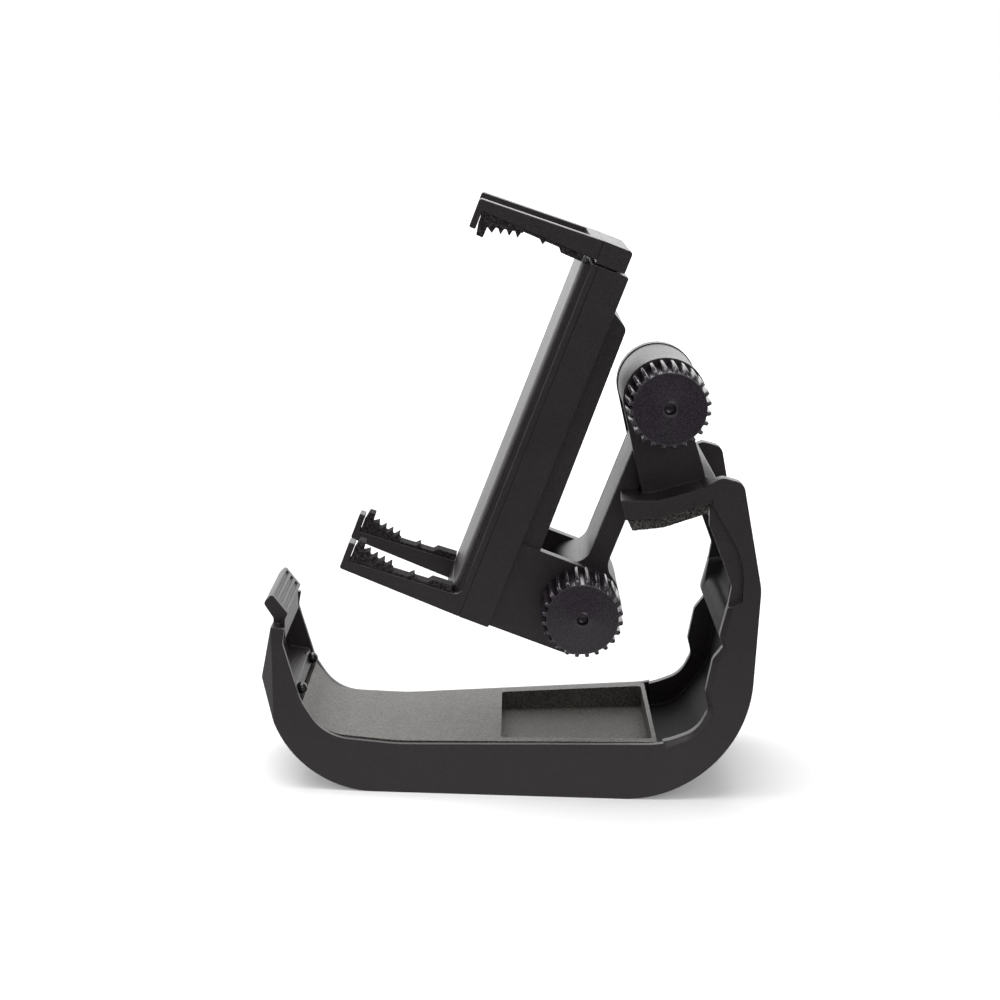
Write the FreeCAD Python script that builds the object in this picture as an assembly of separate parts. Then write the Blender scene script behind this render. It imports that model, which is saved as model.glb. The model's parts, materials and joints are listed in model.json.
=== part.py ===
import FreeCAD, Part
import math
import os

# Millimetres. X runs from the hook to the arm, Y from the near side to the far side, Z up.
# The origin is the middle of the flat underside. The clip is symmetric about Y = 0,
# apart from the two clamping knobs on the near side and the nuts on the far side.

# Cradle that wraps round the gamepad
hook_reach = 41.3          # origin to the inside of the hook
arm_reach = 40.0           # origin to the crest of the arm
floor_rise = 9.8           # top of the side walls over the base
hook_rise = 31.8           # top of the hook's side walls
arm_rise = 61.3            # top of the arm
hook_round = 20.0          # radius between the underside and the hook
arm_round = 24.0           # radius between the underside and the arm
hook_half_width = 13.0
arm_half_width = 18.0
taper_inset = 11.0         # the sides stop widening this far inside the arm's crest
side_wall = 1.1            # beside the liner and at the hook
arm_wall = 2.4             # beside the arm's channel
rim_bevel = 0.9
web_wall = 2.0
relief_depth = 1.1         # the outer face of the arm's wall is cut back this much
rib_wall = 1.2
channel_floor = 6.4        # where the arm's channel starts beside the liner

# Tab at the end of the hook
tab_half_width = 10.0
tab_rise = 5.6
groove_width = 0.7
groove_count = 3

# Liner, bumpers and ledge pad
liner_gap = 0.2
liner_wall = 1.6
liner_rise = 0.25          # liner's surface over the rim of the side walls
pocket_start = -0.6
pocket_depth = 3.3
pocket_rim = 1.9
pocket_end_rim = 0.8
liner_inset = 11.6         # the liner ends this far inside the arm's crest
bumper_radius = 1.1
stem_radius = 0.6
bumper_lean_deg = 12.8      # the stops point this much upward
bumper_pitch = 18.0
ledge_length = 19.1        # free end of the ledge to the arm's crest
ledge_top = 57.1
ledge_wall = 3.6
pad_wall = 2.0

# Tilting joints
pivot_inset = 11.0         # upper pivot to the arm's crest
upper_pivot_z = 74.4
link_length = 41.2
lean_deg = 21.2
link_half_width = 8.5
link_front = 1.6
link_back = 2.2
barrel_radius = 7.4
link_fillet = 3.5
link_groove = 0.35
ear_wall = 2.45
ear_gap = 0.15
post_ear_radius = 7.6
screw_radius = 1.95
bore_gap = 0.05
head_flats = 7.0
head_height = 2.8
nut_height = 2.8
nut_gap = 0.05
boss_radius = 5.4
washer_radius = 5.0
washer_wall = 0.8

# Knobs
knob_front_radius = 6.65
knob_root_radius = 6.3
knob_tip_radius = 7.4
knob_height = 10.2
knob_gap = 0.2
knob_lip = 0.7             # the disc stands this far in front of the teeth
knob_teeth = 24
tooth_tip_share = 0.42
tooth_root_share = 0.66
dimple_radius = 1.0

# Phone holder, along (a) and across (b) from the lower pivot
holder_half_width = 13.0
holder_bottom = -10.0
holder_top = 59.2
shell_seam = 20.3
back_depth = 5.8
front_wall = 1.2
plate_wall = 1.8
plate_half_width = 12.3
plate_round = 1.5
bulge_depth = 4.1
bulge_half_width = 10.4
bulge_top = 52.4
ear_round = 8.35
ear_drop = 1.65
shell_wall = 1.6
jaw_reach = 44.1
prong_width = 3.6
bar_tip = 1.9
bar_root = 3.9
bar_slope = 1.0            # the outer face of each jaw closes in by this much at the tip
lip_wall = 1.2
lip_height = 3.4
slider_wall = 2.2
slider_half_width = 7.1
guide_wall = 1.2
slider_gap = 0.3
slider_start = 22.5
peg_radius = 0.9
peg_pitch = 10.0
house_peg = 10.5
slider_peg = 27.5
spring_radius = 1.45
spring_wire = 0.42
spring_turns = 9

# Grip pads
pad_base = 0.5
tooth_heights = [2.9, 2.55, 2.2, 1.95]
tooth_depth = 1.15
tooth_pitch = 1.5
lug_height = 4.25
lug_width = 1.65
heel_height = 1.25
pad_seat = 0.1             # pads stand clear of the lips by this much

# Screws that hold the shells and the jaw
small_screw_radius = 0.8
small_head_radius = 1.6
small_head_height = 1.0
small_screw_gap = 0.05

lean = math.radians(lean_deg)
taper_end = arm_reach - taper_inset
liner_end = arm_reach - liner_inset
ledge_reach = arm_reach - ledge_length
upper_pivot_x = arm_reach - pivot_inset
shell_back = shell_seam - back_depth
shell_front = shell_seam + front_wall
plate_front = shell_front + plate_wall
bulge_back = shell_back - bulge_depth
lower_pivot_x = upper_pivot_x - link_length * math.sin(lean)
lower_pivot_z = upper_pivot_z - link_length * math.cos(lean)
ear_inside = link_half_width + ear_gap
ear_outside = ear_inside + ear_wall
inner_half_width = holder_half_width - shell_wall


def vec(x, y, z):
    return FreeCAD.Vector(x, y, z)


def leaned(a, b):
    """World X and Z of a point a along and b in front of the lower pivot."""
    x = lower_pivot_x + a * math.sin(lean) - b * math.cos(lean)
    z = lower_pivot_z + a * math.cos(lean) + b * math.sin(lean)
    return x, z


def rounded_wire(corners, place):
    """Closed wire through (p, q, radius) corners; place turns (p, q) into a point."""
    count = len(corners)
    points = [FreeCAD.Vector(c[0], c[1], 0) for c in corners]
    radii = [c[2] if len(c) > 2 else 0 for c in corners]
    starts = []
    middles = []
    ends = []
    for i in range(count):
        here = points[i]
        back = (points[i - 1] - here).normalize()
        ahead = (points[(i + 1) % count] - here).normalize()
        if radii[i] == 0:
            starts.append(here)
            middles.append(None)
            ends.append(here)
            continue
        half = back.getAngle(ahead) / 2
        trim = radii[i] / math.tan(half)
        bisector = (back + ahead).normalize()
        centre = here + bisector * (radii[i] / math.sin(half))
        starts.append(here + back * trim)
        middles.append(centre - bisector * radii[i])
        ends.append(here + ahead * trim)
    edges = []
    for i in range(count):
        if middles[i] is not None:
            arc = [place(p.x, p.y) for p in (starts[i], middles[i], ends[i])]
            edges.append(Part.Arc(*arc).toShape())
        run_start = place(ends[i].x, ends[i].y)
        run_end = place(starts[(i + 1) % count].x, starts[(i + 1) % count].y)
        if run_start.distanceToPoint(run_end) > 1e-6:
            edges.append(Part.makeLine(run_start, run_end))
    return Part.Wire(edges)


def prism(corners, near, far):
    """Outline in X and Z, from Y = near to Y = far."""
    wire = rounded_wire(corners, lambda p, q: vec(p, near, q))
    return Part.Face(wire).extrude(vec(0, far - near, 0))


def leaned_prism(corners, near, far):
    """Outline in a and b of the phone holder, from Y = near to Y = far."""
    def place(a, b):
        x, z = leaned(a, b)
        return vec(x, near, z)
    wire = rounded_wire(corners, place)
    return Part.Face(wire).extrude(vec(0, far - near, 0))


def plan_prism(corners, bottom, top):
    """Outline in X and Y, from Z = bottom to Z = top."""
    wire = rounded_wire(corners, lambda p, q: vec(p, q, bottom))
    return Part.Face(wire).extrude(vec(0, 0, top - bottom))


def rod(x, z, radius, near, far):
    return Part.makeCylinder(radius, far - near, vec(x, near, z), vec(0, 1, 0))


def leaned_rod(a, b, radius, near, far):
    x, z = leaned(a, b)
    return rod(x, z, radius, near, far)


def cross_rod(a, y, radius, low, high):
    """Rod along b of the holder, from b = low to b = high."""
    x, z = leaned(a, low)
    return Part.makeCylinder(radius, high - low, vec(x, y, z), vec(-math.cos(lean), 0, math.sin(lean)))


def leaned_box(a0, a1, b0, b1, near, far):
    return leaned_prism([(a0, b0), (a0, b1), (a1, b1), (a1, b0)], near, far)


def hexagon(x, z, flats, near, far):
    corners = []
    for i in range(6):
        turn = math.radians(60 * i) + lean
        radius = flats / math.sqrt(3)
        corners.append((x + radius * math.cos(turn), z + radius * math.sin(turn)))
    return prism(corners, near, far)


def both_sides(shape):
    """The shape and its mirror image on the other side of Y = 0."""
    return [shape, shape.mirror(vec(0, 0, 0), vec(0, 1, 0))]


def fuse(first, others):
    return first.multiFuse(others).removeSplitter()


def cut(first, others):
    return first.cut(others).removeSplitter()


def outer_contour():
    """The cradle's outer side, from the hook's top round the base to the arm's top."""
    return [
        (-hook_reach - 2.1, hook_rise),
        (-hook_reach - 4.35, hook_rise - 10.4, 0.8),
        (-hook_reach + 1.6, 0, hook_round),
        (arm_reach + 4.6, 0, arm_round),
        (arm_reach + 6.55, arm_rise - 20.6, 10),
        (arm_reach + 2.8, arm_rise - 0.9, 2),
        (arm_reach - 1.2, arm_rise + 0.2, 2),
    ]


def inner_contour():
    """The rim of the side walls, from the underside of the ledge back to the hook's top."""
    return [
        (arm_reach - 3.1, ledge_top - 0.2),
        (arm_reach - 3.1, ledge_top - 4.6, 2),
        (arm_reach - 2.0, ledge_top - 7.3, 3),
        (arm_reach + 1.3, ledge_top - 16.1, 1.5),
        (arm_reach + 0.7, 37.3),
        (arm_reach - 0.7, 31.6, 2),
        (arm_reach, 29.6),
        (arm_reach - 1.8, 27.2, 2),
        (arm_reach - 3.0, 20.8, 2),
        (arm_reach - 2.2, 17.6, 2.5),
        (arm_reach - 4.4, 13.3, 6),
        (liner_end + 1.0, floor_rise + 1.1, 17),
        (-hook_reach + 21.3, floor_rise - 0.2, 40),
        (-hook_reach + 7.4, floor_rise + 0.9, 9),
        (-hook_reach + 3.1, 17.6, 9),
        (-hook_reach, hook_rise - 3.1, 2),
        (-hook_reach + 0.5, hook_rise - 0.3),
    ]


def ledge_contour():
    """Top and free end of the ledge."""
    return [
        (arm_reach - 4.4, ledge_top + 2.4),
        (arm_reach - 12.6, ledge_top + 0.1, 4),
        (ledge_reach, ledge_top),
        (ledge_reach + 0.9, ledge_top - ledge_wall),
        (arm_reach - 12.6, ledge_top - ledge_wall + 0.4, 6),
    ]


def plan_outline(inset, start):
    """Half-widths of the cradle in plan, as a closed outline."""
    corner = 3.0
    near = [
        (start, -(hook_half_width - corner - inset)),
        (start + corner, -(hook_half_width - inset)),
        (taper_end, -(arm_half_width - inset), 60),
        (arm_reach + 12, -(arm_half_width - inset)),
    ]
    return near + [(c[0], -c[1]) + tuple(c[2:]) for c in reversed(near)]


def half_width(x):
    """Half the cradle's width at X."""
    start = -hook_reach - 2.3
    share = (x - start) / (taper_end - start)
    return hook_half_width + (arm_half_width - hook_half_width) * min(share, 1)


def cradle_hollow():
    """The space between the side walls, open to the inside of the cradle."""
    outline = [
        (-hook_reach - 0.6, hook_rise + 1),
        (-hook_reach - 4.35 + web_wall, hook_rise - 10.3, 1),
        (-hook_reach + 3.2, web_wall, hook_round - web_wall),
        (liner_end + 0.1, web_wall),
        (liner_end + 0.1, channel_floor),
        (liner_end + 6.0, channel_floor + 0.5, 8),
        (arm_reach + 1.0, 15.5, 8),
        (arm_reach + 6.55 - web_wall, arm_rise - 20.6, 9),
        (arm_reach + 3.6, arm_rise - 8),
        (arm_reach + 12, arm_rise - 8),
        (arm_reach + 12, arm_rise + 3),
        (arm_reach - 2.0, arm_rise + 3),
        (arm_reach - 2.0, ledge_top - 2.6),
        (arm_reach - 8.0, ledge_top - 6.0),
        (arm_reach - 8.0, 20),
        (20, 20),
        (-hook_reach + 12, 20),
        (-hook_reach + 12, hook_rise + 1),
    ]
    solid = prism(outline, -arm_half_width, arm_half_width)
    split = liner_end + 1.0
    corner = vec(-hook_reach - 10, -arm_half_width, -1)
    wide = Part.makeBox(split + hook_reach + 10, 2 * arm_half_width, arm_rise + 5, corner)
    thin = plan_prism(plan_outline(side_wall, -hook_reach - 5), -1, arm_rise + 4).common(wide)
    thick = plan_prism(plan_outline(arm_wall, -hook_reach - 5), -1, arm_rise + 4).cut(wide)
    return fuse(solid.common(thin), [solid.common(thick)])


def arm_web():
    """Hump that joins the arm's walls behind its crest, rising to the rim beside each wall."""
    width = arm_half_width - 1
    crest = [
        (arm_reach + 0.02, 29.6),
        (arm_reach - 0.68, 31.6, 2),
        (arm_reach + 0.1, 34.6, 2.0),
        (arm_reach + 2.6, 34.8, 1.5),
        (arm_reach + 3.8, 38.4),
        (arm_reach + 6.0, 38.6),
        (arm_reach + 5.2, 29.6),
    ]
    horn = [
        (arm_reach + 0.02, 29.6),
        (arm_reach - 0.68, 31.6, 2),
        (arm_reach + 0.75, 37.6),
        (arm_reach + 6.0, 38.6),
        (arm_reach + 5.2, 29.6),
    ]
    inside = width - 4.5
    wire = Part.makePolygon([
        vec(arm_reach - 3, -width, 29),
        vec(arm_reach - 3, -width, 39),
        vec(arm_reach - 3, -width + 0.8, 39),
        vec(arm_reach - 3, -inside, 33.4),
        vec(arm_reach - 3, -inside, 29),
        vec(arm_reach - 3, -width, 29),
    ])
    wedge = Part.Face(wire).extrude(vec(10, 0, 0))
    horns = both_sides(wedge.common(prism(horn, -width, 0)))
    return fuse(prism(crest, -width, width), horns)


def arm_bevels():
    """Cuts that bevel the outer rims of the arm's walls, tapering out at the liner."""
    rim = [
        (arm_reach + 0.7, 37.2, 0, 1.0, 0.0),
        (arm_reach - 0.7, 31.6, 2, 1.0, 0.0),
        (arm_reach, 29.6, 0, 1.0, 0.0),
        (arm_reach - 1.8, 27.2, 2, 0.9, -0.4),
        (arm_reach - 3.0, 20.8, 2, 1.0, 0.0),
        (arm_reach - 2.2, 17.6, 2.5, 1.0, -0.2),
        (arm_reach - 4.4, 13.3, 6, 0.8, -0.6),
        (liner_end + 1.0, floor_rise + 1.1, 0, 0.3, -0.95),
    ]

    def section(y, shift):
        points = [(x + shift * dx, z + shift * dz, r) for x, z, r, dx, dz in rim]
        points = points + [(liner_end + 1.0, floor_rise + 4.0, 0), (arm_reach - 8, 37.2, 0)]
        return rounded_wire(points, lambda p, q: vec(p, y, q))

    wires = [section(-arm_half_width - 0.01, rim_bevel), section(-arm_half_width + rim_bevel, -0.01)]
    return both_sides(Part.makeLoft(wires, True, True))


def base_ribs():
    """Cross ribs that carry the liner, low enough to leave room for it."""
    ribs = []
    top = floor_rise + liner_rise - liner_wall
    for x in (-24.0, -15.0, -6.0):
        rib = Part.makeBox(rib_wall, 2 * (half_width(x) - 1), top - 1, vec(x, -half_width(x) + 1, 1))
        ribs.append(rib)
    tray = top - pocket_depth
    for x in (4.0, 13.0, 22.0):
        rib = Part.makeBox(rib_wall, 2 * (half_width(x) - 1), tray - 1, vec(x, -half_width(x) + 1, 1))
        ribs.append(rib)
    return ribs


def arm_ribs():
    """Lengthwise ribs on the arm's web."""
    lower = prism([(arm_reach + 1.6, 17), (arm_reach + 2.2, 30),
                   (arm_reach + 5.6, 30), (arm_reach + 4.4, 17)], -5, -5 + rib_wall)
    upper = prism([(arm_reach + 2.4, 36), (arm_reach + 2.8, ledge_top - 6), (arm_reach + 4.8, ledge_top - 6),
                   (arm_reach + 6.0, 36)], -5, -5 + rib_wall)
    return [lower, upper]


def hook_web():
    """Cross web at the foot of the hook, where the bumpers are set."""
    x = -hook_reach + 2.5
    outline = [(x - 4.6, 17.2), (x + 0.1, 17.4), (x - 0.4, 19.6), (x - 5.2, 20.4)]
    width = half_width(x) - 1
    return prism(outline, -width, width)


def tab():
    """Grip that opens the hook, with grooves along its sloping face."""
    x = -hook_reach - 2.1
    outline = [
        (x + 0.2, hook_rise - 3),
        (x + 0.2, hook_rise + 1.0),
        (x - 1.6, hook_rise + tab_rise - 1.7, 0.8),
        (x, hook_rise + tab_rise, 0.5),
        (x + 2.9, hook_rise + 1.8, 0.3),
        (x + 2.3, hook_rise + 0.6),
        (x + 2.3, hook_rise - 3),
    ]
    body = prism(outline, -tab_half_width, tab_half_width)
    grooves = []
    for i in range(groove_count):
        share = (i + 0.75) / (groove_count + 0.5)
        gx = x + 2.9 * share
        gz = hook_rise + tab_rise + (1.8 - tab_rise) * share
        grooves.append(rod(gx, gz, groove_width / 2, -tab_half_width + 1.2, tab_half_width - 1.2))
    return cut(body, grooves)


def post():
    """Clevis that stands on the ledge and carries the link between its ears."""
    head = rod(upper_pivot_x, upper_pivot_z, post_ear_radius, -ear_outside, ear_outside)
    left = upper_pivot_x - post_ear_radius
    neck = prism([
        (left + 0.25, upper_pivot_z - 1.9),
        (left + 4.1, ledge_top - 1.5),
        (arm_reach - 2.8, ledge_top + 1.0),
        (arm_reach - 3.9, upper_pivot_z - 12.4, 3),
        (upper_pivot_x + 5.0, upper_pivot_z - 5.7),
        (upper_pivot_x, upper_pivot_z),
    ], -ear_outside, ear_outside)
    boss = rod(upper_pivot_x, upper_pivot_z, boss_radius, ear_outside - 0.5, ear_outside + nut_height - 0.4)
    return [head, neck, boss]


def link_room():
    """Slot in the post, the ledge and its pad that the link swings through."""
    room = barrel_radius + 0.4
    swing = prism([
        (upper_pivot_x, upper_pivot_z),
        (upper_pivot_x + 2.7, upper_pivot_z - 7.5),
        (upper_pivot_x + 0.3, upper_pivot_z - 10.0),
        (upper_pivot_x - 2.4, ledge_top - 0.6),
        (upper_pivot_x - 4.3, ledge_top - 7),
        (ledge_reach - 12, ledge_top - 7),
        (ledge_reach - 12, upper_pivot_z + 12),
        (upper_pivot_x, upper_pivot_z + 12),
    ], -ear_inside, ear_inside)
    return fuse(rod(upper_pivot_x, upper_pivot_z, room, -ear_inside, ear_inside), [swing])


def nut_seat(x, z):
    """Screw bore and hexagonal seat in a far ear."""
    bore = rod(x, z, screw_radius + bore_gap, -ear_outside - 1, ear_outside + 4)
    seat = hexagon(x, z, head_flats + 2 * nut_gap, ear_outside - 0.4, ear_outside + 4)
    return [bore, seat]


def relief():
    """Recess in the outer faces of the arm's walls, under the ledge."""
    outline = [
        (arm_reach + 0.9, 37.35),
        (arm_reach + 3.2, 38.4, 0.5),
        (arm_reach + 3.3, ledge_top - 10.6, 16),
        (arm_reach - 3.0, ledge_top + 0.1),
        (arm_reach - 6, ledge_top + 0.1),
        (arm_reach - 6, 40),
        (arm_reach - 1, 37),
    ]
    return both_sides(prism(outline, -arm_half_width - 1, -arm_half_width + relief_depth))


def ledge_end():
    """Slanting cut that trims the ledge's free end on the far side."""
    return plan_prism([
        (ledge_reach - 3, -arm_half_width - 1),
        (ledge_reach, -arm_half_width - 1),
        (ledge_reach + 1.5, arm_half_width + 1),
        (ledge_reach - 3, arm_half_width + 1),
    ], ledge_top - 8, ledge_top + 4)


def cradle_frame():
    corners = outer_contour() + ledge_contour() + inner_contour()
    shell = prism(corners, -arm_half_width, arm_half_width)
    plan = plan_prism(plan_outline(0, -hook_reach - 5), -1, arm_rise + 2)
    shell = shell.common(plan).cut(cradle_hollow())
    inside = prism(corners, -arm_half_width, arm_half_width).common(plan)
    ribs = [rib.common(inside) for rib in base_ribs() + arm_ribs() + [arm_web(), hook_web()]]
    frame = fuse(shell, ribs + [tab()] + post())
    frame = cut(frame, relief() + arm_bevels() + [link_room(), ledge_end()])
    frame = cut(frame, nut_seat(upper_pivot_x, upper_pivot_z))
    holes = [bumper_hole(side) for side in (-1, 1)]
    return cut(frame, holes + [liner_body()])


def liner_outline():
    """Section of the liner: a plate with a deeper tray at the arm's end."""
    top = floor_rise + liner_rise
    drop = liner_wall
    return [
        (-hook_reach + 3.3, 16.9),
        (-hook_reach + 7.5, top + 0.9, 8),
        (-hook_reach + 21.3, top - 0.2, 38),
        (liner_end, top + 0.9),
        (liner_end, top - pocket_depth - drop),
        (pocket_start - 2, top - pocket_depth - drop),
        (pocket_start - 2, top - drop - 0.1),
        (-hook_reach + 21.3, top - drop - 0.2, 30),
        (-hook_reach + 6.9, top - drop + 1.4, 6),
        (-hook_reach + 2.0, 16.2),
    ]


def liner_body():
    body = prism(liner_outline(), -arm_half_width, arm_half_width)
    return body.common(plan_prism(plan_outline(side_wall + liner_gap, -hook_reach - 5), -1, arm_rise))


def cradle_liner():
    """Textured floor of the cradle, with a shallow tray sunk in it."""
    tray_floor = floor_rise + liner_rise - pocket_depth
    near = half_width(pocket_start) - side_wall - liner_gap - pocket_rim
    far = arm_half_width - side_wall - liner_gap - pocket_rim
    tray = plan_prism([
        (pocket_start, -near, 0.8),
        (liner_end - pocket_end_rim, -far, 0.8),
        (liner_end - pocket_end_rim, far, 0.8),
        (pocket_start, near, 0.8),
    ], tray_floor, floor_rise + 3)
    return cut(liner_body(), [tray])


def bumper_place(side):
    return vec(-hook_reach + 2.4, side * bumper_pitch / 2, 18.6)


def bumper_way():
    turn = math.radians(bumper_lean_deg)
    return vec(-math.cos(turn), 0, -math.sin(turn))


def bumper_hole(side):
    return Part.makeCylinder(stem_radius, 2.4, bumper_place(side), bumper_way())


def hook_bumpers():
    """Two domed stops pressed into the web at the hook's foot."""
    solids = []
    for side in (-1, 1):
        place = bumper_place(side)
        dome = Part.makeSphere(bumper_radius, place)
        back = Part.makeBox(6, 4, 6, vec(place.x - 6, place.y - 2, place.z - 3))
        back.rotate(place, vec(0, 1, 0), -bumper_lean_deg)
        stem = Part.makeCylinder(stem_radius - bore_gap, 2.2, place, bumper_way())
        solids.append(fuse(dome.cut(back), [stem]))
    return Part.makeCompound(solids)


def ledge_pad():
    """Foam strip under the ledge, notched where the link passes."""
    bottom = ledge_top - ledge_wall
    corners = [
        (ledge_reach + 1.2, bottom - 0.02),
        (arm_reach - 12.6, bottom + 0.4, 6),
        (arm_reach - 3.2, ledge_top - 0.3),
        (arm_reach - 3.4, ledge_top - 0.3 - pad_wall),
        (arm_reach - 11.4, bottom + 0.6 - pad_wall, 6),
        (ledge_reach + 2.1, bottom - pad_wall),
    ]
    width = arm_half_width - 0.4
    pad = prism(corners, -width, width)
    return cut(pad, [link_room()])


def upper_nut():
    return clamp_nut(upper_pivot_x, upper_pivot_z)


def lower_nut():
    return clamp_nut(lower_pivot_x, lower_pivot_z)


def clamp_nut(x, z):
    start = ear_outside - 0.4
    nut = hexagon(x, z, head_flats, start, start + nut_height)
    return cut(nut, [rod(x, z, screw_radius + bore_gap, start - 1, start + nut_height + 1)])


def link_outline():
    """Strap between two barrels, with tangent fillets, in a and b from the lower pivot."""
    def fillet(offset):
        reach = barrel_radius + link_fillet
        along = math.sqrt(reach ** 2 - (offset + link_fillet) ** 2)
        share = barrel_radius / reach
        centre = (along, offset + link_fillet)
        on_barrel = (centre[0] * share, centre[1] * share)
        on_strap = (along, offset)
        way = ((on_barrel[0] + on_strap[0]) / 2 - centre[0], (on_barrel[1] + on_strap[1]) / 2 - centre[1])
        size = math.hypot(way[0], way[1])
        middle = (centre[0] + way[0] / size * link_fillet, centre[1] + way[1] / size * link_fillet)
        return on_barrel, middle, on_strap

    def place(a, b):
        x, z = leaned(a, b)
        return vec(x, -link_half_width, z)

    front = fillet(link_front)
    back = fillet(link_back)
    low_front = [place(a, b) for a, b in front]
    low_back = [place(a, -b) for a, b in back]
    top_front = [place(link_length - a, b) for a, b in front]
    top_back = [place(link_length - a, -b) for a, b in back]
    edges = [
        Part.Arc(*low_front).toShape(),
        Part.makeLine(low_front[2], top_front[2]),
        Part.Arc(*reversed(top_front)).toShape(),
        Part.Arc(top_front[0], place(link_length + barrel_radius, 0), top_back[0]).toShape(),
        Part.Arc(*top_back).toShape(),
        Part.makeLine(top_back[2], low_back[2]),
        Part.Arc(*reversed(low_back)).toShape(),
        Part.Arc(low_back[0], place(-barrel_radius, 0), low_front[0]).toShape(),
    ]
    return Part.Wire(edges)


def link_arm():
    """Strap and barrels, with a groove beside each edge of its front face."""
    body = Part.Face(link_outline()).extrude(vec(0, 2 * link_half_width, 0))
    bores = []
    for a in (0, link_length):
        bores.append(leaned_rod(a, 0, screw_radius + bore_gap, -link_half_width - 1, link_half_width + 1))
        recess = leaned_rod(a, 0, washer_radius + 0.1,
                            -link_half_width - 1, -link_half_width + washer_wall - 0.1)
        bores.extend(both_sides(recess))
    edge = link_half_width - 2 * link_groove
    start = barrel_radius + link_fillet
    groove = leaned_box(start, link_length - start, link_front - link_groove, link_front + 1,
                        -edge, -edge + link_groove)
    bores.extend(both_sides(groove))
    return cut(body, bores)


def washers(a):
    """Friction washers in the ends of one barrel."""
    start = -link_half_width - 0.1
    ring = cut(leaned_rod(a, 0, washer_radius, start, start + washer_wall),
               [leaned_rod(a, 0, screw_radius + bore_gap, start - 1, start + washer_wall + 1)])
    return Part.makeCompound(both_sides(ring))


def upper_washers():
    return washers(link_length)


def lower_washers():
    return washers(0)


def knob(x, z):
    """Hand knob: a toothed drum behind a plain disc, with a seat for the screw's head."""
    back = -ear_outside - knob_gap
    front = back - knob_height
    corners = []
    pitch = 2 * math.pi / knob_teeth
    for i in range(knob_teeth):
        middle = i * pitch
        for radius, share in ((knob_root_radius, -tooth_root_share), (knob_tip_radius, -tooth_tip_share),
                              (knob_tip_radius, tooth_tip_share), (knob_root_radius, tooth_root_share)):
            turn = middle + share * pitch / 2
            corners.append((x + radius * math.cos(turn), z + radius * math.sin(turn)))
    drum = prism(corners, front + knob_lip, back)
    disc = rod(x, z, knob_front_radius, front, front + knob_lip + 0.3)
    rim = [e for e in disc.Edges if abs(e.BoundBox.YMax - front) < 1e-6]
    disc = disc.makeChamfer(0.25, rim)
    body = fuse(drum, [disc])
    seat = hexagon(x, z, head_flats + 2 * nut_gap, back - head_height - 0.1, back + 1)
    dimple = rod(x, z, dimple_radius, front - 1, front + 1.0)
    ring_outer = rod(x, z, dimple_radius + 0.6, front - 1, front + 0.15)
    return cut(body, [seat, dimple, ring_outer])


def clamp_screw(x, z):
    """Screw whose head sits in the knob and whose end reaches through the nut."""
    back = -ear_outside - knob_gap
    head = hexagon(x, z, head_flats, back - head_height, back)
    shank = rod(x, z, screw_radius, back - 1, ear_outside + nut_height - 0.3)
    return fuse(head, [shank])


def upper_knob():
    return knob(upper_pivot_x, upper_pivot_z)


def lower_knob():
    return knob(lower_pivot_x, lower_pivot_z)


def upper_screw():
    return clamp_screw(upper_pivot_x, upper_pivot_z)


def lower_screw():
    return clamp_screw(lower_pivot_x, lower_pivot_z)


def lower_bar():
    """Side outline of the fixed jaw, with the upright lip at its tip."""
    face = holder_bottom + bar_root
    tip_outer = holder_bottom + bar_slope - 0.3
    tip_inner = tip_outer + bar_tip
    return [
        (holder_bottom, shell_seam),
        (tip_outer, jaw_reach, 0.5),
        (tip_inner + lip_height, jaw_reach, 0.3),
        (tip_inner + lip_height, jaw_reach - lip_wall, 0.3),
        (tip_inner, jaw_reach - lip_wall),
        (face, shell_front, 1.5),
        (holder_top, shell_front),
        (holder_top, shell_seam),
    ]


def upper_bar():
    """Side outline of the sliding jaw's fork."""
    inner = holder_top + 0.8
    outer = holder_top + 0.5 + bar_root
    tip_outer = outer - bar_slope
    tip_inner = tip_outer - bar_tip
    return [
        (inner, shell_front - 0.5),
        (outer, shell_front - 0.5),
        (tip_outer, jaw_reach, 0.5),
        (tip_inner - lip_height, jaw_reach, 0.3),
        (tip_inner - lip_height, jaw_reach - lip_wall, 0.3),
        (tip_inner, jaw_reach - lip_wall),
        (inner, shell_front + 1.0, 1.0),
    ]


def fork_gap():
    """Space between the two prongs, open from the tips to the holder's front."""
    inside = holder_half_width - prong_width
    return leaned_box(holder_bottom - 5, holder_top + 10, plate_front + pad_seat, jaw_reach + 2,
                      -inside, inside)


def front_plate():
    """Raised face that the phone's back rests on, with rounded long edges."""
    bottom = holder_bottom + bar_root
    block = leaned_box(bottom, holder_top - 0.4, shell_front - 0.4, plate_front,
                       -plate_half_width, plate_half_width)
    x, z = leaned(0, plate_front)
    edges = []
    for edge in block.Edges:
        points = [v.Point for v in edge.Vertexes]
        ahead = [(p - vec(x, p.y, z)).dot(vec(-math.cos(lean), 0, math.sin(lean))) for p in points]
        level = abs(points[0].y - points[1].y) < 1e-6
        if level and all(abs(value) < 1e-6 for value in ahead):
            edges.append(edge)
    return block.makeFillet(plate_round, edges)


def screw_places():
    """Along and across places of the shell screws, with the level of each seat."""
    edge = inner_half_width - 1.9
    top = [(55.8, side * edge, shell_back) for side in (-1, 1)]
    low = [(-2.0, side * edge / 2, bulge_back) for side in (-1, 1)]
    return top + low


def front_shell():
    """Front half of the holder, moulded with the fixed jaw."""
    body = fuse(leaned_prism(lower_bar(), -holder_half_width, holder_half_width), [front_plate()])
    holes = [fork_gap()]
    for a, y, back in screw_places():
        holes.append(cross_rod(a, y, small_screw_radius + small_screw_gap,
                               shell_seam - 3, plate_front - 0.9))
    return cut(body, holes)


def ear_outline():
    """Lug on the back of the holder, wider than the link's barrel and set lower."""
    return [
        (ear_round - ear_drop, shell_back + 0.5),
        (ear_round - ear_drop, -ear_round, ear_round - 0.01),
        (-ear_round - ear_drop, -ear_round, ear_round - 0.01),
        (-ear_round - ear_drop, shell_back + 0.5),
    ]


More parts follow.
